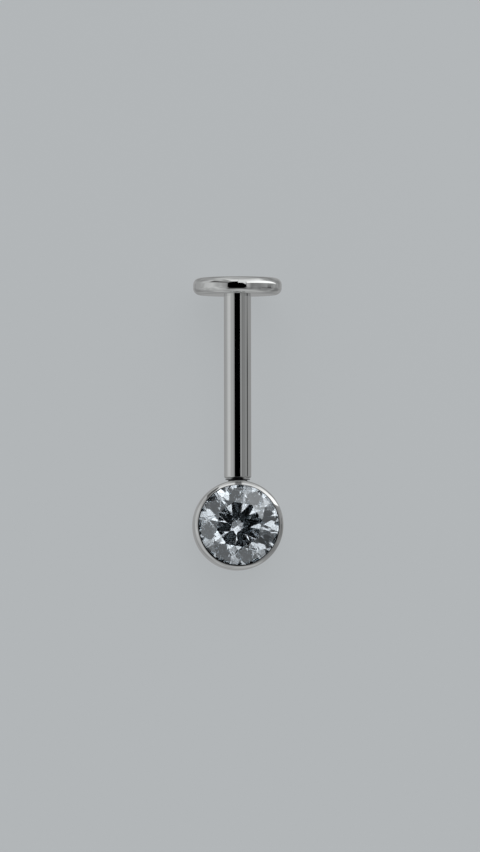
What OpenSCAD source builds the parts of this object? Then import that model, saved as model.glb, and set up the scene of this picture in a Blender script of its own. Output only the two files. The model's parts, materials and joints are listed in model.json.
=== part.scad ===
// Labret stud: a flat disc on a straight post, and a push-in head that holds a round brilliant facing sideways.
// It lies on its side as it would on a table, the stone up, on the disc's rim and the back of the cup.
// Lengths are in millimetres, angles in degrees.

/* [Post and disc] */
// Outside diameter of the post, 16 gauge
post_d = 1.2; // [1.1:0.05:1.6]
// Length of the post from the disc's inner face to its open end
post_len = 8.1; // [6:0.1:12]
// Radius of the round on the post's open end
post_end_r = 0.1; // [0.05:0.01:0.15]
// Diameter of the flat disc
disc_d = 3.9; // [3:0.1:5]
// Thickness of the flat disc
disc_t = 0.75; // [0.65:0.05:1]
// Radius of the round on both edges of the disc
disc_edge_r = 0.3; // [0.1:0.01:0.32]

/* [Push-in pin] */
// Diameter of the pin that holds the head in the post
pin_d = 0.5; // [0.4:0.05:0.6]
// Length of the pin past the neck
pin_len = 5; // [3:0.25:5.5]
// Radius of the round on the pin's tip
pin_tip_r = 0.12; // [0.05:0.01:0.18]
// Radial clearance of the pin in the post's bore
pin_clear = 0.03; // [0.02:0.01:0.06]
// Room between the pin's tip and the bottom of the bore
bore_room = 0.3; // [0.1:0.05:0.4]
// Chamfer at the bore's mouth
bore_chamfer = 0.04; // [0.02:0.01:0.08]

/* [Neck] */
// Diameter of the thin shoulder that meets the post's end
shoulder_d = 1.1; // [0.95:0.01:1.15]
// Thickness of that shoulder, whose edge is fully rounded
shoulder_t = 0.03; // [0.02:0.01:0.04]
// Diameter of the waist between the shoulder and the cup
waist_d = 0.84; // [0.7:0.01:0.88]
// How much wider the waist's radius is at its root in the cup's wall
waist_flare = 0.04; // [0.02:0.01:0.08]
// Length of shoulder and waist at the near side of the cup
neck_len = 0.06; // [0.05:0.01:0.3]
// Gap between the shoulder and the post's end
neck_gap = 0.03; // [0.02:0.01:0.06]

/* [Cup] */
// Wall of the cup beside the stone's girdle
cup_wall = 0.155; // [0.12:0.005:0.3]
// How far the lip is turned in over the stone's edge
lip_cover = 0.045; // [0.03:0.005:0.1]
// Thickness of the lip at its inner edge
lip_edge = 0.05; // [0.03:0.01:0.08]
// Radius at which the wall is turned in over the stone
lip_round_r = 0.24; // [0.23:0.01:0.35]
// Width of the seat that is cut for the stone
seat_w = 0.25; // [0.2:0.01:0.3]
// Thickness of the closed back
back_t = 0.3; // [0.2:0.05:0.5]
// Room between the stone's point and the closed back
culet_room = 0.06; // [0.03:0.01:0.15]
// Radius of the round on the back edge
back_edge_r = 0.3; // [0.1:0.05:0.4]
// Height of the post's axis above the cup's back
axis_up = 1.1; // [1:0.05:1.25]
// Clearance all round the stone in its seat
stone_clear = 0.02; // [0.01:0.005:0.03]

/* [Stone] */
// Diameter of the round brilliant
stone_d = 3.6; // [3:0.1:4.5]
// Thickness of the girdle at its thickest places
girdle_t = 0.12; // [0.1:0.01:0.2]
// Width of the table across its corners, as a share of the diameter
table_share = 0.57; // [0.5:0.01:0.65]
// Angle of the eight crown mains
crown_angle = 34.5; // [30:0.25:38]
// Angle of the eight pavilion mains
pavilion_angle = 40.25; // [38:0.25:43]
// How far the stars reach from the table to the girdle
star_share = 0.5; // [0.4:0.01:0.6]
// How far the lower halves reach from the girdle to the point
lower_half_share = 0.72; // [0.7:0.01:0.85]
// Turn of the stone in its seat
stone_turn = 12; // [0:0.5:45]

/* [Hidden] */
$fn = 96;
// Steps that a rounded edge is drawn in
arc_steps = 10;
// Steps that the girdle is drawn in under each half
girdle_steps = 6;
steel = "silver";
clear_stone = [0.85, 0.87, 0.9, 0.7];

post_r = post_d / 2;
disc_r = disc_d / 2;
pin_r = pin_d / 2;
shoulder_r = shoulder_d / 2;
waist_r = waist_d / 2;
bore_r = pin_r + pin_clear;
bore_depth = pin_len - neck_gap + bore_room;

// The stone's cut: every facet is a plane, and these are its heights and the angles that make the facets meet
stone_r = stone_d / 2;
half_step = 22.5;
quarter_step = half_step / 2;
star_r = stone_r * (table_share * cos(half_step) * (1 - star_share) + star_share);
lower_r = stone_r * (1 - lower_half_share);
crown_h = stone_r * (1 - table_share) * tan(crown_angle);
pavilion_h = stone_r * tan(pavilion_angle);
star_h = (stone_r - star_r * cos(half_step)) * tan(crown_angle);
upper_half_angle = atan(star_h / (cos(quarter_step) * (stone_r - star_r)));
meet_z = -(stone_r - lower_r * cos(half_step)) * tan(pavilion_angle);
lower_half_angle = atan(-meet_z / (cos(quarter_step) * (stone_r - lower_r)));
half_r = stone_r * cos(quarter_step);

// The cup: its radii, then its heights above the post's axis
seat_outer_r = stone_r + stone_clear;
seat_inner_r = seat_outer_r - seat_w;
cup_r = seat_outer_r + cup_wall;
lip_r = stone_r - lip_cover;
lip_end_angle = acos((lip_r - cup_r + lip_round_r) / lip_round_r);
back_z = -axis_up;
floor_z = back_z + back_t;
girdle_bottom_z = floor_z + culet_room + pavilion_h;
girdle_top_z = girdle_bottom_z + girdle_t;
lip_centre_z = under_lip_z(lip_r) + lip_edge - lip_round_r * sin(lip_end_angle);
function over_seat_z(r) =
    girdle_bottom_z - (stone_r - r) * tan(pavilion_angle) - stone_clear / cos(pavilion_angle);
function under_lip_z(r) =
    girdle_top_z + (stone_r - r) * tan(crown_angle) + stone_clear / cos(crown_angle);

// The post's axis is Y, its open end is at y = 0, and the disc is on the +Y side
cup_y = -neck_gap - neck_len - cup_r;
neck_root_y = cup_y + (cup_r + seat_inner_r) / 2;

// How it lies: the floor touches the round of the disc's inner edge and the round of the cup's far back edge
disc_touch = [post_len + disc_edge_r, disc_edge_r - disc_r];
cup_touch = [cup_y - cup_r + back_edge_r, back_z + back_edge_r];
touch_run = disc_touch[0] - cup_touch[0];
touch_rise = cup_touch[1] - disc_touch[1];
rest_tilt = atan(touch_rise / touch_run)
    + asin((disc_edge_r - back_edge_r) / norm([touch_run, touch_rise]));
rest_up = disc_edge_r - turned_z(disc_touch);
high_y = turned_y([post_len + disc_t - disc_edge_r, disc_edge_r - disc_r]) + disc_edge_r;
low_y = turned_y([cup_y - cup_r + lip_round_r, lip_centre_z]) - lip_round_r;
function turned_y(p) = p[0] * cos(rest_tilt) - p[1] * sin(rest_tilt);
function turned_z(p) = p[0] * sin(rest_tilt) + p[1] * cos(rest_tilt);

// Points of a round of radius r about a centre, from one angle to another
function round_points(centre, r, from, to) =
    [for (i = [0:arc_steps])
        let (a = from + (to - from) * i / arc_steps)
            centre + r * [cos(a), sin(a)]];

// Turns a shape that is round about Z so that its axis is the post's
module along_post(y) {
    translate([0, y, 0]) rotate([-90, 0, 0]) children();
}

// Lays the stud on its side with its lowest points at z = 0 and the middle of its box over the origin
module lying() {
    translate([0, -(high_y + low_y) / 2, rest_up]) rotate([rest_tilt, 0, 0]) children();
}

// Disc and post are one turned and polished solid, with a blind bore in the post's end
module flat_back_post() {
    color(steel) lying() along_post(0) rotate_extrude()
        polygon(concat(
            [[bore_r, bore_depth], [bore_r, bore_chamfer], [bore_r + bore_chamfer, 0]],
            round_points([post_r - post_end_r, post_end_r], post_end_r, -90, 0),
            [[post_r, post_len]],
            round_points([disc_r - disc_edge_r, post_len + disc_edge_r], disc_edge_r, -90, 0),
            round_points([disc_r - disc_edge_r, post_len + disc_t - disc_edge_r], disc_edge_r, 0, 90),
            [[0, post_len + disc_t], [0, bore_depth]]
        ));
}

// Closed-back cup with its seat for the stone and its lip, as one turned shape about the stone's axis
module cup() {
    translate([0, cup_y, 0]) rotate_extrude()
        polygon(concat(
            [[0, back_z]],
            round_points([cup_r - back_edge_r, back_z + back_edge_r], back_edge_r, -90, 0),
            round_points([cup_r - lip_round_r, lip_centre_z], lip_round_r, 0, lip_end_angle),
            [
                [lip_r, under_lip_z(lip_r)],
                [seat_outer_r, under_lip_z(seat_outer_r)],
                [seat_outer_r, over_seat_z(seat_outer_r)],
                [seat_inner_r, over_seat_z(seat_inner_r)],
                [seat_inner_r, floor_z],
                [0, floor_z]
            ]
        ));
}

// Waist, shoulder and pin, turned as one; the waist widens to its root in the cup's wall
module neck_and_pin() {
    neck_end = -neck_gap - neck_root_y;
    tip = neck_end + pin_len;
    edge_r = shoulder_t / 2;
    along_post(neck_root_y) rotate_extrude()
        polygon(concat(
            [[0, 0], [waist_r + waist_flare, 0], [waist_r, neck_end - shoulder_t]],
            round_points([shoulder_r - edge_r, neck_end - edge_r], edge_r, -90, 90),
            [[pin_r, neck_end]],
            round_points([pin_r - pin_tip_r, tip - pin_tip_r], pin_tip_r, 0, 90),
            [[0, tip]]
        ));
}

module bezel_setting() {
    color(steel) lying() {
        cup();
        neck_and_pin();
    }
}

// Point at a distance r from the stone's axis, in the direction turn and z up from the girdle's lower edge
function cut_point(r, turn, z) = [r * cos(turn), r * sin(turn), z];

// Heights where a half's plane crosses the girdle, at an angle away from the middle of that half
function scallop(angle, off) = (stone_r * cos(off) - half_r) * tan(angle);

// Round brilliant: table, eight stars, eight mains and sixteen halves above, eight mains and sixteen halves below
module brilliant() {
    mains = 8;
    halves = 2 * mains;
    rim = halves * girdle_steps;
    main_step = 360 / mains;
    off = [for (j = [0:rim - 1]) (j % girdle_steps) * 360 / rim - quarter_step];
    table = 0;
    star = table + mains;
    upper = star + mains;
    lower = upper + rim;
    meet = lower + rim;
    culet = meet + mains;
    points = concat(
        [for (k = [0:mains - 1]) cut_point(stone_r * table_share, k * main_step, girdle_t + crown_h)],
        [for (k = [0:mains - 1]) cut_point(star_r, (k + 0.5) * main_step, girdle_t + star_h)],
        [for (j = [0:rim - 1]) cut_point(stone_r, j * 360 / rim, girdle_t - scallop(upper_half_angle, off[j]))],
        [for (j = [0:rim - 1]) cut_point(stone_r, j * 360 / rim, scallop(lower_half_angle, off[j]))],
        [for (k = [0:mains - 1]) cut_point(lower_r, (k + 0.5) * main_step, meet_z)],
        [[0, 0, -pavilion_h]]
    );
    table_face = [for (k = [mains - 1:-1:0]) table + k];
    star_faces = [for (k = [0:mains - 1]) [table + k, table + (k + 1) % mains, star + k]];
    crown_mains = [for (k = [0:mains - 1])
        [table + k, star + k, upper + k * rim / mains, star + (k + mains - 1) % mains]];
    upper_halves = [for (m = [0:halves - 1])
        concat([star + floor(m / 2)],
            [for (j = [girdle_steps:-1:0]) upper + (m * girdle_steps + j) % rim])];
    girdle_faces = [for (j = [0:rim - 1])
        [upper + j, upper + (j + 1) % rim, lower + (j + 1) % rim, lower + j]];
    lower_halves = [for (m = [0:halves - 1])
        concat([meet + floor(m / 2)],
            [for (j = [0:girdle_steps]) lower + (m * girdle_steps + j) % rim])];
    pavilion_mains = [for (k = [0:mains - 1])
        [culet, meet + (k + mains - 1) % mains, lower + k * rim / mains, meet + k]];
    polyhedron(points, concat([table_face], star_faces, crown_mains, upper_halves,
        girdle_faces, lower_halves, pavilion_mains));
}

module stone() {
    color(clear_stone) lying()
        translate([0, cup_y, girdle_bottom_z]) rotate([0, 0, stone_turn]) brilliant();
}

flat_back_post();
bezel_setting();
stone();
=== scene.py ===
import json
import math
import bpy
from mathutils import Matrix, Vector


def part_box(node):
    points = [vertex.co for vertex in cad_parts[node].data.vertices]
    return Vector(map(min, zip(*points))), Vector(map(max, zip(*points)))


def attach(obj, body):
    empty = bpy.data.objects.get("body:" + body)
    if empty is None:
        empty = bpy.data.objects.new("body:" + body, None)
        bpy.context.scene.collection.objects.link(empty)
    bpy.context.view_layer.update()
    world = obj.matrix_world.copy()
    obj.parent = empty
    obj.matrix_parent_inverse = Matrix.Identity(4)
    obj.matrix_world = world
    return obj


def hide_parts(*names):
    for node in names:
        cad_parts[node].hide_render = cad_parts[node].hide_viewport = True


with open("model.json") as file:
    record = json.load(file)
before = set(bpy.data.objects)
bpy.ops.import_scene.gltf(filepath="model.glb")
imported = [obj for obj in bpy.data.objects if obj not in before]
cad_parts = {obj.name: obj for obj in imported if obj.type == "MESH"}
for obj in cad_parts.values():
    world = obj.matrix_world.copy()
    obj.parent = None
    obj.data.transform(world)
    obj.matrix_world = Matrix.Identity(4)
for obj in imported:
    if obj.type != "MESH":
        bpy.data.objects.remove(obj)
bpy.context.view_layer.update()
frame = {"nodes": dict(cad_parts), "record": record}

# The flat-back post is one piece of titanium: a round disc and a straight post, turned in a lathe
# and polished all over. Its open end is drilled for the head's pin. It lies on the disc's rim, so
# the post slopes a little. Sizes are in millimetres, unless a comment says metres.
MM = 0.001
mounts = {mount["name"]: mount for mount in frame["record"]["mounts"]}
post_mount = mounts["piercing_post"]
stud_axis = -Vector(post_mount["axis"]).normalized()
lie_angle = math.atan2(stud_axis.z, stud_axis.y)
post_turn = lie_angle - math.pi / 2
post_r = post_mount["dims"]["r_mm"]
post_end_round = 0.1
straight_len = post_mount["dims"]["length_mm"]
post_len = straight_len + post_end_round
post_end = Vector(post_mount["pos_m"]) - stud_axis * (straight_len / 2 + post_end_round) * MM
post_low, post_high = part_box("flat_back_post")
disc_r = (post_high.x - post_low.x) / 2 / MM
disc_t = (Vector(mounts["disc_back"]["pos_m"]) - post_end).dot(stud_axis) / MM - post_len
disc_round = 0.3
bore_r = 0.28
bore_depth = 5.27
bore_chamfer = 0.04
turned_sides = 192
round_steps = 12
small_round_steps = 8


def deselect():
    bpy.ops.object.select_all(action="DESELECT")


def pick(piece, kind, chosen):
    """Selects in edit mode the edges or faces that pass the test."""
    bpy.ops.object.mode_set(mode="EDIT")
    bpy.ops.mesh.select_mode(type=kind)
    bpy.ops.mesh.select_all(action="DESELECT")
    bpy.ops.object.mode_set(mode="OBJECT")
    for part in piece.data.polygons if kind == "FACE" else piece.data.edges:
        part.select = chosen(part)
    bpy.ops.object.mode_set(mode="EDIT")


def on_circle(piece, r, z):
    """A test for the edges of one turned circle of radius r at height z."""
    edge_r = r * math.cos(math.pi / turned_sides)
    height_slack = 1e-3
    r_slack = 2e-3

    def test(edge):
        start, end = (piece.data.vertices[index].co for index in edge.vertices)
        middle = (start + end) / 2
        from_axis = math.hypot(middle.x, middle.y)
        return abs(middle.z - z) < height_slack and abs(from_axis - edge_r) < r_slack

    return test


def polish(piece, crease):
    """Smooth shading below a crease angle, with flats that stay flat beside their rounds."""
    bpy.ops.object.mode_set(mode="OBJECT")
    bpy.ops.object.shade_smooth_by_angle(angle=math.radians(crease))
    bpy.ops.object.modifier_add(type="WEIGHTED_NORMAL")
    flats = piece.modifiers[-1]
    flats.keep_sharp = True
    flats.weight = 100
    bpy.ops.object.modifier_apply(modifier=flats.name)


def lay(piece, at, angle):
    """Scales a piece that was made upright in millimetres, tips it and puts its foot in place."""
    bpy.ops.object.mode_set(mode="OBJECT")
    piece.scale = (MM, MM, MM)
    piece.rotation_euler = (angle, 0, 0)
    piece.location = at
    bpy.ops.object.transform_apply(location=True, rotation=True, scale=True)


deselect()
bpy.ops.mesh.primitive_cylinder_add(
    vertices=turned_sides, radius=disc_r, depth=disc_t, location=(0, 0, post_len + disc_t / 2)
)
post = bpy.context.object
post.name = "polished_post"
bpy.ops.object.transform_apply(location=True, rotation=False, scale=False)
pick(post, "FACE", lambda face: face.normal.z < -0.9)
bpy.ops.mesh.inset(thickness=disc_r - post_r)
bpy.ops.mesh.extrude_region_move(TRANSFORM_OT_translate={"value": (0, 0, -post_len)})
bpy.ops.mesh.inset(thickness=post_r - bore_r)
bpy.ops.mesh.extrude_region_move(TRANSFORM_OT_translate={"value": (0, 0, bore_depth)})
for r, z, size, steps in (
    (disc_r, post_len + disc_t, disc_round, round_steps),
    (disc_r, post_len, disc_round, round_steps),
    (post_r, 0, post_end_round, small_round_steps),
    (bore_r, 0, bore_chamfer, 1),
):
    pick(post, "EDGE", on_circle(post, r, z))
    bpy.ops.mesh.bevel(offset=size, segments=steps, profile=0.5, affect="EDGES")
polish(post, crease=40)
lay(post, post_end, post_turn)

titanium = (0.615, 0.62, 0.61, 1)
hazy_titanium = (0.57195, 0.5797, 0.5795, 1)
polished_roughness = 0.02
hazy_roughness = 0.05
marks_per_mm = (2.5, 2.5, 34.0)
marks_strength = 0.005
marks_depth = 0.01


def turned_metal(name, axis_turn, axis_at):
    """Bright polished metal: faint rings from the lathe with hair-fine rubbing marks, and a little
    haze from handling. The patterns are in millimetres from the foot of the turning axis."""
    metal = bpy.data.materials.new(name)
    metal.use_nodes = True
    nodes, links = metal.node_tree.nodes, metal.node_tree.links
    shader = nodes["Principled BSDF"]
    shader.inputs["Metallic"].default_value = 1.0
    place = nodes.new("ShaderNodeTexCoord")
    in_mm = nodes.new("ShaderNodeMapping")
    in_mm.name = "in_mm"
    in_mm.vector_type = "TEXTURE"
    in_mm.inputs["Location"].default_value = axis_at
    in_mm.inputs["Rotation"].default_value = (axis_turn, 0, 0)
    in_mm.inputs["Scale"].default_value = (MM, MM, MM)
    links.new(place.outputs["Object"], in_mm.inputs["Vector"])

    haze = nodes.new("ShaderNodeTexNoise")
    haze.inputs["Scale"].default_value = 1.1
    haze.inputs["Detail"].default_value = 5.0
    links.new(in_mm.outputs["Vector"], haze.inputs["Vector"])
    dull = nodes.new("ShaderNodeMapRange")
    dull.inputs["From Min"].default_value = 0.42
    dull.inputs["From Max"].default_value = 0.72
    dull.inputs["To Min"].default_value = polished_roughness
    dull.inputs["To Max"].default_value = hazy_roughness
    links.new(haze.outputs["Fac"], dull.inputs["Value"])
    links.new(dull.outputs["Result"], shader.inputs["Roughness"])

    tint = nodes.new("ShaderNodeMix")
    tint.data_type = "RGBA"
    tint.inputs["A"].default_value = titanium
    tint.inputs["B"].default_value = hazy_titanium
    links.new(haze.outputs["Fac"], tint.inputs["Factor"])
    links.new(tint.outputs["Result"], shader.inputs["Base Color"])

    stretch = nodes.new("ShaderNodeMapping")
    stretch.inputs["Scale"].default_value = marks_per_mm
    marks = nodes.new("ShaderNodeTexNoise")
    marks.inputs["Scale"].default_value = 1.0
    marks.inputs["Detail"].default_value = 3.0
    links.new(in_mm.outputs["Vector"], stretch.inputs["Vector"])
    links.new(stretch.outputs["Vector"], marks.inputs["Vector"])
    grain = nodes.new("ShaderNodeBump")
    grain.inputs["Strength"].default_value = marks_strength
    grain.inputs["Distance"].default_value = marks_depth * MM
    links.new(marks.outputs["Fac"], grain.inputs["Height"])
    links.new(grain.outputs["Normal"], shader.inputs["Normal"])
    return metal


post.data.materials.clear()
post.data.materials.append(turned_metal("post_metal", post_turn, post_end))
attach(post, "post")
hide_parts("flat_back_post")

# The bezel setting is a closed-back cup turned from the same metal, with a thin wall that is
# turned in over the stone's edge. A short waist and a thin shoulder join it to the pin that is
# pushed into the post, and all are soldered into one.
stone_side = -Vector(mounts["cup_back"]["axis"]).normalized()
cup_foot = Vector(mounts["cup_back"]["pos_m"])
cup_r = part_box("bezel_setting")[1].x / MM
stone_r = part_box("stone")[1].x / MM
stone_clear = 0.02
back_t = 0.3
back_round = 0.3
lip_round = 0.24
lip_cover = 0.045
lip_edge = 0.05
seat_w = 0.25
girdle_t = 0.12
crown_angle = math.radians(34.5)
pavilion_angle = math.radians(40.25)
culet_room = 0.06
weld = 1e-4
seat_r = stone_r + stone_clear
seat_in_r = seat_r - seat_w
lip_r = stone_r - lip_cover
girdle_low = back_t + culet_room + stone_r * math.tan(pavilion_angle)
girdle_high = girdle_low + girdle_t


def over_seat(r):
    """The height of the seat's face, just under the stone's pavilion."""
    return (
        girdle_low
        - (stone_r - r) * math.tan(pavilion_angle)
        - stone_clear / math.cos(pavilion_angle)
    )


def under_lip(r):
    """The height of the lip's inner face, just over the stone's crown."""
    return (
        girdle_high
        + (stone_r - r) * math.tan(crown_angle)
        + stone_clear / math.cos(crown_angle)
    )


def arc(r, z, radius, start, end, steps):
    """Points of a round about (r, z), with its angles in degrees."""
    angles = [math.radians(start + (end - start) * i / steps) for i in range(steps + 1)]
    return [(r + radius * math.cos(a), z + radius * math.sin(a)) for a in angles]


def turn_profile(name, points, sides):
    """Draws half a section as a line of points and spins it round the upright axis."""
    deselect()
    bpy.ops.mesh.primitive_plane_add(size=0.1, location=(0, 0, 0))
    piece = bpy.context.object
    piece.name = name
    bpy.ops.object.mode_set(mode="EDIT")
    bpy.ops.mesh.select_mode(type="VERT")
    bpy.ops.mesh.merge(type="CENTER")
    bpy.ops.transform.translate(value=(points[0][0], 0, points[0][1]))
    for (r0, z0), (r1, z1) in zip(points, points[1:]):
        step = (r1 - r0, 0, z1 - z0)
        bpy.ops.mesh.extrude_region_move(TRANSFORM_OT_translate={"value": step})
    bpy.ops.mesh.select_all(action="SELECT")
    bpy.ops.mesh.spin(steps=sides, angle=2 * math.pi, center=(0, 0, 0), axis=(0, 0, 1))
    bpy.ops.mesh.select_all(action="SELECT")
    bpy.ops.mesh.remove_doubles(threshold=weld)
    bpy.ops.mesh.normals_make_consistent(inside=False)
    bpy.ops.object.mode_set(mode="OBJECT")
    return piece


lip_end = math.degrees(math.acos((lip_r - cup_r + lip_round) / lip_round))
lip_mid = under_lip(lip_r) + lip_edge - lip_round * math.sin(math.radians(lip_end))
setting = turn_profile("bezel_cup", [
    (0, 0),
    *arc(cup_r - back_round, back_round, back_round, -90, 0, round_steps),
    *arc(cup_r - lip_round, lip_mid, lip_round, 0, lip_end, round_steps),
    (lip_r, under_lip(lip_r)),
    (seat_r, under_lip(seat_r)),
    (seat_r, over_seat(seat_r)),
    (seat_in_r, over_seat(seat_in_r)),
    (seat_in_r, back_t),
    (0, back_t),
], turned_sides)

pin_r = 0.25
pin_len = 5.0
pin_tip_round = 0.12
pin_sides = 96
shoulder_r = 0.55
shoulder_t = 0.03
shoulder_round = shoulder_t / 2
waist_r = 0.42
waist_flare = 0.04
neck_gap = 0.03
to_cup_axis = (post_end - cup_foot).dot(stud_axis) / MM
pin_height = (post_end - cup_foot).dot(stone_side) / MM
root = to_cup_axis - (cup_r + seat_in_r) / 2
neck_end = root - neck_gap
tip = neck_end + pin_len
stem = turn_profile("push_in_pin", [
    (0, 0),
    (waist_r + waist_flare, 0),
    (waist_r, neck_end - shoulder_t),
    *arc(
        shoulder_r - shoulder_round, neck_end - shoulder_round, shoulder_round,
        -90, 90, small_round_steps,
    ),
    (pin_r, neck_end),
    *arc(pin_r - pin_tip_round, tip - pin_tip_round, pin_tip_round, 0, 90, small_round_steps),
    (0, tip),
], pin_sides)
stem.rotation_euler = (-math.pi / 2, 0, 0)
stem.location = (0, to_cup_axis - root, pin_height)
bpy.ops.object.transform_apply(location=True, rotation=True, scale=True)
deselect()
setting.select_set(True)
bpy.context.view_layer.objects.active = setting
solder = setting.modifiers.new("solder", "BOOLEAN")
solder.operation = "UNION"
solder.solver = "EXACT"
solder.object = stem
bpy.ops.object.modifier_apply(modifier="solder")
bpy.data.objects.remove(stem)
bpy.ops.object.mode_set(mode="EDIT")
bpy.ops.mesh.select_all(action="SELECT")
bpy.ops.mesh.remove_doubles(threshold=weld)
polish(setting, crease=34)
lay(setting, cup_foot, lie_angle)
setting.name = "bezel_and_pin"
setting_metal = turned_metal("setting_metal", lie_angle, cup_foot)
nodes, links = setting_metal.node_tree.nodes, setting_metal.node_tree.links


def combine(operation, *values):
    """A sum, product or other operation on numbers and node outputs."""
    node = nodes.new("ShaderNodeMath")
    node.operation = operation
    for socket, value in zip(node.inputs, values):
        if isinstance(value, (int, float)):
            socket.default_value = value
        else:
            links.new(value, socket)
    return node.outputs["Value"]


def fade(value, low, high, from_value=0.0, to_value=1.0):
    """Eases from one number to another as a value passes two limits, given either way round."""
    step = nodes.new("ShaderNodeMapRange")
    step.interpolation_type = "SMOOTHSTEP"
    step.inputs["From Min"].default_value = low
    step.inputs["From Max"].default_value = high
    step.inputs["To Min"].default_value = from_value
    step.inputs["To Max"].default_value = to_value
    links.new(value, step.inputs["Value"])
    return step.outputs["Result"]


def mask(*parts):
    """The product of several steps, 1 only where they all are."""
    result = parts[0]
    for part in parts[1:]:
        result = combine("MULTIPLY", result, part)
    return result


# Painted shade darkens the metal's colour in three places: the fine crevice where the lip meets the
# stone, which is a little wider on one side and fades out on another, the neck's recess, and the
# lip beside the neck, where the neck's shadow falls
split = nodes.new("ShaderNodeSeparateXYZ")
links.new(nodes["in_mm"].outputs["Vector"], split.inputs["Vector"])
x_mm, y_mm, z_mm = split.outputs
x_squared = combine("POWER", x_mm, 2.0)
y_squared = combine("POWER", y_mm, 2.0)
from_axis = combine("SQRT", combine("ADD", x_squared, y_squared))
line_in = lip_r + 0.001
line_in_soft = 0.003
line_out = lip_r + 0.034
line_out_soft = 0.022
line_widens = 0.011
unshaded_way = math.radians(-112)
unshaded_from = 1.58
unshaded_to = 1.72
lip_under = under_lip(lip_r)
on_lip = fade(z_mm, lip_under - 0.02, lip_under - 0.01)
leaning = combine("SUBTRACT", from_axis, combine("MULTIPLY", x_mm, line_widens))
toward_unshaded = combine(
    "ADD",
    combine("MULTIPLY", x_mm, math.cos(unshaded_way)),
    combine("MULTIPLY", y_mm, math.sin(unshaded_way)),
)
# Painted shade in the crevice between the lip and the stone, fading out on one side
lip_line = mask(
    fade(from_axis, line_in, line_in + line_in_soft),
    fade(leaning, line_out, line_out - line_out_soft),
    on_lip,
    fade(toward_unshaded, unshaded_to, unshaded_from),
)
neck_from = cup_r - 0.055
neck_from_soft = 0.045
neck_to = cup_r + 0.14
neck_to_soft = 0.06
# Painted shade in the neck's recess
in_neck = mask(
    fade(y_mm, neck_from, neck_from + neck_from_soft),
    fade(y_mm, neck_to, neck_to - neck_to_soft),
)
spot_x = -0.02
spot_half_w = 0.2
spot_soft = 0.1
spot_strength = 0.8
from_spot = combine("ABSOLUTE", combine("SUBTRACT", x_mm, spot_x))
# Painted shadow of the neck on the lip beside it
beside_neck = mask(
    fade(from_spot, spot_half_w, spot_half_w - spot_soft),
    fade(y_mm, lip_r - 0.01, lip_r + 0.02),
    on_lip,
    spot_strength,
)
# The painted shade of all three places darkens the colour and roughens the metal a little
painted_shade = combine("MAXIMUM", combine("MAXIMUM", lip_line, in_neck), beside_neck)
painted_shade_colour = (0.03, 0.03, 0.032, 1)
painted_shade_roughness = 0.3

# The cup's inner wall beside the girdle is freshly cut and bright
cut_colour = (0.93, 0.935, 0.94, 1)
fresh_cut = mask(
    fade(from_axis, seat_r + 0.02, seat_r + 0.005),
    fade(z_mm, under_lip(seat_r) + 0.01, under_lip(seat_r) - 0.01),
    fade(z_mm, girdle_low - 0.12, girdle_low - 0.08),
)
metal = nodes["Principled BSDF"]
colour = metal.inputs["Base Color"].links[0].from_socket
for where, new_colour in ((fresh_cut, cut_colour), (painted_shade, painted_shade_colour)):
    coat = nodes.new("ShaderNodeMix")
    coat.data_type = "RGBA"
    coat.inputs["B"].default_value = new_colour
    links.new(where, coat.inputs["Factor"])
    links.new(colour, coat.inputs["A"])
    colour = coat.outputs["Result"]
links.new(colour, metal.inputs["Base Color"])
smooth = metal.inputs["Roughness"].links[0].from_socket
rougher = combine("ADD", smooth, combine("MULTIPLY", painted_shade, painted_shade_roughness))
links.new(rougher, metal.inputs["Roughness"])
setting.data.materials.clear()
setting.data.materials.append(setting_metal)
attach(setting, "head")
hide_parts("bezel_setting")

# The stone is a clear cubic zirconia, cut as a round brilliant of 57 flat facets with a ground
# girdle. It drops into the cup's seat and the lip holds it by the crown.
stone = frame["nodes"]["stone"]
zirconia = bpy.data.materials.new("clear_zirconia")
zirconia.use_nodes = True
nodes, links = zirconia.node_tree.nodes, zirconia.node_tree.links
glass = nodes["Principled BSDF"]
glass.inputs["Transmission Weight"].default_value = 0.995
glass.inputs["IOR"].default_value = 2.16
glass.inputs["Base Color"].default_value = (0.82, 0.87, 0.91, 1)
glass.inputs["Specular Tint"].default_value = (0.88, 0.95, 1.0, 1)
glass.inputs["Coat Weight"].default_value = 0.5
glass.inputs["Coat IOR"].default_value = 2.0
glass.inputs["Coat Roughness"].default_value = 0.0
glass.inputs["Coat Tint"].default_value = (0.97, 0.985, 1.0, 1)
film_per_m = 900.0
film_roughness = 0.012
place = nodes.new("ShaderNodeTexCoord")
film = nodes.new("ShaderNodeTexNoise")
film.inputs["Scale"].default_value = film_per_m
film.inputs["Detail"].default_value = 3.0
links.new(place.outputs["Object"], film.inputs["Vector"])
smear = nodes.new("ShaderNodeMapRange")
smear.inputs["From Min"].default_value = 0.55
smear.inputs["From Max"].default_value = 0.8
smear.inputs["To Min"].default_value = 0.0
smear.inputs["To Max"].default_value = film_roughness
links.new(film.outputs["Fac"], smear.inputs["Value"])
links.new(smear.outputs["Result"], glass.inputs["Roughness"])
stone.data.materials.clear()
stone.data.materials.append(zirconia)

# The floor is a plain pale table top with a soft matt face, wide enough to fill the view from any
# side. It glows a little to stay even, and the metal doesn't mirror it. Its size is in metres.
floor_size = 1.6
deselect()
bpy.ops.mesh.primitive_plane_add(size=floor_size, location=(0, 0, 0))
floor = bpy.context.object
floor.name = "pale_floor"
matt = bpy.data.materials.new("pale_matt")
matt.use_nodes = True
paint = matt.node_tree.nodes["Principled BSDF"]
paint.inputs["Base Color"].default_value = (0.12, 0.125, 0.13, 1)
paint.inputs["Roughness"].default_value = 0.6
paint.inputs["Specular IOR Level"].default_value = 0.2
paint.inputs["Emission Color"].default_value = (0.93, 0.975, 1.0, 1)
paint.inputs["Emission Strength"].default_value = 0.41
floor.data.materials.append(matt)
floor.visible_glossy = False

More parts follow.
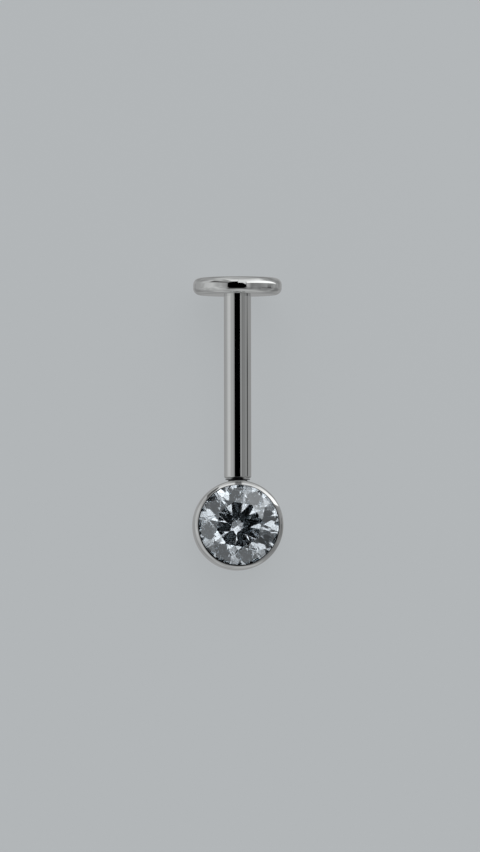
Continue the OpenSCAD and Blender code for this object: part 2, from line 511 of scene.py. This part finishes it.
# The camera looks almost straight down on the stone with a long lens, a little from the head's
# side and from the left, with the disc at the top of the picture. Its distance is in metres.
camera_back = 0.446
picture_high = 852
px_per_mm = 22.68
sensor_w = 36
aim_up = 2.32
aim_right = 0.104
look_side = math.radians(2.7)
look_down = math.radians(2.0)
roll = math.radians(0.1)
across = Vector((1, 0, 0))
toward = (
    stone_side * math.cos(look_side) * math.cos(look_down)
    - stud_axis * math.sin(look_down)
    - across * math.sin(look_side)
).normalized()
aim = post_end + stud_axis * aim_up * MM + across * aim_right * MM
up = (stud_axis * math.cos(roll) + across * math.sin(roll)).normalized()
right = up.cross(toward).normalized()
up = toward.cross(right)
deselect()
bpy.ops.object.camera_add(location=aim + toward * camera_back)
camera = bpy.context.object
camera.rotation_euler = Matrix((right, up, toward)).transposed().to_euler()
camera.data.sensor_width = sensor_w
camera.data.lens = sensor_w * camera_back / (picture_high / px_per_mm * MM)
camera.data.clip_start = 0.01
camera.data.clip_end = 5
bpy.context.scene.camera = camera

# The light is a soft studio round the stud: a pale room that is lighter on the left, with a dark
# place round the lens and below it, and a white panel low at the upper right. Its directions are
# the picture's right and up, and towards the lens.
world = bpy.data.worlds.new("studio")
bpy.context.scene.world = world
world.use_nodes = True
nodes, links = world.node_tree.nodes, world.node_tree.links
nodes.clear()
out = nodes.new("ShaderNodeOutputWorld")
sky = nodes.new("ShaderNodeBackground")
links.new(sky.outputs["Background"], out.inputs["Surface"])
way = nodes.new("ShaderNodeTexCoord")
crisp = 0.012


def along(direction):
    """How far the way of a ray points in a direction, from -1 to 1."""
    dot = nodes.new("ShaderNodeVectorMath")
    dot.operation = "DOT_PRODUCT"
    dot.inputs[1].default_value = direction
    links.new(way.outputs["Generated"], dot.inputs[0])
    return dot.outputs["Value"]


def beyond(direction, limit, soft=crisp):
    """1 where a ray points further than the limit in a direction."""
    return fade(along(direction), limit - soft, limit + soft)


def short_of(direction, limit, soft=crisp):
    """1 where a ray points less far than the limit in a direction."""
    return fade(along(direction), limit + soft, limit - soft)


def compass(degrees):
    """A direction across the picture, counted from its right edge to its top."""
    return right * math.cos(math.radians(degrees)) + up * math.sin(math.radians(degrees))


def blend_to(value, tone, share):
    """Brings a value to a tone by a share from 0 to 1."""
    rest = combine("SUBTRACT", 1.0, share)
    return combine("ADD", combine("MULTIPLY", value, rest), combine("MULTIPLY", share, tone))


def darken(value, where, strength):
    """Takes a share of a value away where a mask says."""
    left_over = combine("SUBTRACT", 1.0, combine("MULTIPLY", where, strength))
    return combine("MULTIPLY", value, left_over)


# The room's tone by the angle round the stud's axis, in degrees to the right of the lens
room_tones = (
    (-180, 0.47),
    (-130, 0.5),
    (-100, 0.61),
    (-78, 0.69),
    (-56, 0.71),
    (-42, 0.57),
    (-28, 0.44),
    (24, 0.52),
    (32, 0.48),
    (38, 0.31),
    (54, 0.38),
    (97, 0.38),
    (112, 0.56),
    (135, 0.47),
    (180, 0.47),
)
ramp = nodes.new("ShaderNodeValToRGB")
stops = ramp.color_ramp.elements
for number, (degrees, tone) in enumerate(room_tones):
    position = (degrees + 180) / 360
    stop = stops[number] if number < 2 else stops.new(position)
    stop.position = position
    stop.color = (tone, tone, tone, 1)
angle = combine("ARCTAN2", along(right), along(toward))
links.new(combine("MULTIPLY_ADD", angle, 0.5 / math.pi, 0.5), ramp.inputs["Fac"])

# It is even above and below, darker low on the right and behind the stud, paler far to the left,
# and a little cloudy
tone_above = 0.68
tone_below = 0.58
tone_far_left = 0.72
low_right_loss = 0.25
behind_loss = 0.17
room = blend_to(ramp.outputs["Color"], tone_above, beyond(up, 0.84, 0.06))
room = blend_to(room, tone_below, short_of(up, -0.675, 0.175))
low_right = mask(beyond(right, 0.55, 0.2), short_of(up, -0.1, 0.1))
room = darken(room, low_right, low_right_loss)
room = darken(room, short_of(toward, -0.35, 0.25), behind_loss)
cloud_low = 0.84
cloud_high = 1.16
cloud = nodes.new("ShaderNodeTexNoise")
cloud.inputs["Scale"].default_value = 2.6
cloud.inputs["Detail"].default_value = 1.0
links.new(way.outputs["Generated"], cloud.inputs["Vector"])
room = combine("MULTIPLY", room, fade(cloud.outputs["Fac"], 0.35, 0.65, cloud_low, cloud_high))
far_left = mask(
    beyond(up, 0.12, 0.03),
    short_of(up, 0.55, 0.05),
    short_of(right, -0.85, 0.04),
    beyond(toward, -0.25, 0.05),
)
room = blend_to(room, tone_far_left, far_left)

# The lens is black, and the camera's stand below it nearly so
lens_way = (toward - right * 0.0175).normalized()
lens_edge = math.radians(25.2)
lens_soft = math.radians(1.0)
stand_loss = 0.95
lens = fade(along(lens_way), math.cos(lens_edge + lens_soft), math.cos(lens_edge - lens_soft))
room = darken(room, lens, 1.0)
stand = mask(
    short_of(right, 0.4, 0.15),
    beyond(right, -0.4, 0.08),
    beyond(up, -0.625, 0.225),
    short_of(up, -0.03),
    beyond(toward, 0.0),
)
room = darken(room, stand, stand_loss)

# The white panel dims away from the lens and ends low on the right in a slanting edge, and a
# second part of it stands just left of the top
panel_tone = 1.1
panel_far_share = 0.38
panel_slope = up + right * 0.2
panel_top = 0.87
side_panel_tone = 1.15
panel = mask(
    beyond(panel_slope, 0.16, 0.006),
    short_of(up, panel_top),
    beyond(right, 0.03),
    beyond(toward, -0.55, 0.08),
    fade(along(toward), -0.32, -0.02, panel_far_share, 1.0),
)
cut_off = mask(beyond(right, 0.38, 0.04), short_of(compass(135), 0.0, 0.05))
panel = darken(panel, cut_off, 1.0)
side_panel = mask(
    beyond(up, 0.5, 0.05),
    short_of(up, panel_top),
    short_of(right, 0.03),
    beyond(compass(25), 0.0),
    beyond(toward, -0.15, 0.1),
)
light = combine("MAXIMUM", room, combine("MULTIPLY", panel, panel_tone))
light = combine("MAXIMUM", light, combine("MULTIPLY", side_panel, side_panel_tone))
links.new(light, sky.inputs["Strength"])
sky.inputs["Color"].default_value = (0.985, 0.995, 1.0, 1)


def card(name, corners, low, high):
    """A sheet near the stud that only its mirror faces see, lit from one tone to another upwards.
    Its corners are the lower back, lower front, upper back and upper front, in millimetres from
    the post's end to the right, up and towards the lens. Low and high give a height and a tone."""
    deselect()
    bpy.ops.mesh.primitive_plane_add(size=1, location=(0, 0, 0))
    sheet = bpy.context.object
    sheet.name = name
    for vertex, (to_right, to_top, to_lens) in zip(sheet.data.vertices, corners):
        vertex.co = post_end + (right * to_right + up * to_top + toward * to_lens) * MM
    glow = bpy.data.materials.new(name)
    glow.use_nodes = True
    nodes, links = glow.node_tree.nodes, glow.node_tree.links
    nodes.clear()
    output = nodes.new("ShaderNodeOutputMaterial")
    lamp = nodes.new("ShaderNodeEmission")
    links.new(lamp.outputs["Emission"], output.inputs["Surface"])
    place = nodes.new("ShaderNodeTexCoord")
    height = nodes.new("ShaderNodeVectorMath")
    height.operation = "DOT_PRODUCT"
    height.inputs[1].default_value = up
    links.new(place.outputs["Object"], height.inputs[0])
    level = nodes.new("ShaderNodeMapRange")
    level.inputs["From Min"].default_value = post_end.dot(up) + low[0] * MM
    level.inputs["From Max"].default_value = post_end.dot(up) + high[0] * MM
    level.inputs["To Min"].default_value = low[1]
    level.inputs["To Max"].default_value = high[1]
    links.new(height.outputs["Value"], level.inputs["Value"])
    links.new(level.outputs["Result"], lamp.inputs["Strength"])
    sheet.data.materials.append(glow)
    sheet.visible_camera = False
    sheet.visible_diffuse = False
    sheet.visible_shadow = False


# Close cards shift in the mirror faces as near things do: a white one on the right above the disc's
# level, a black and a grey flag further out beside the post, and a dark shelf on the left
white_corners = [(26, 9.8, -14), (26, 15.4, 58), (26, 50, 23), (26, 60, 58)]
black_corners = [(60, 1, -8.2), (60, 1, 5.3), (60, 11.4, -8.2), (60, 11.4, 5.3)]
grey_corners = [(60, -28, -13), (60, -28, 26), (60, 1, -13), (60, 1, 26)]
shelf_corners = [(-14, 12.3, 3), (-14, 12.3, 31), (-6.5, 12.8, 3), (-6.5, 12.8, 14)]
card("white_card", white_corners, low=(16, 1.75), high=(40, 1.15))
card("black_flag", black_corners, low=(7.5, 0.08), high=(10.5, 0.28))
card("grey_flag", grey_corners, low=(-24, 0.36), high=(-2, 0.2))
card("dark_shelf", shelf_corners, low=(0, 0.14), high=(10, 0.14))

# The stone needs many bounces of light, and the picture keeps plain tones
scene = bpy.context.scene
scene.view_settings.view_transform = "Standard"
scene.cycles.max_bounces = 32
scene.cycles.glossy_bounces = 16
scene.cycles.transmission_bounces = 32
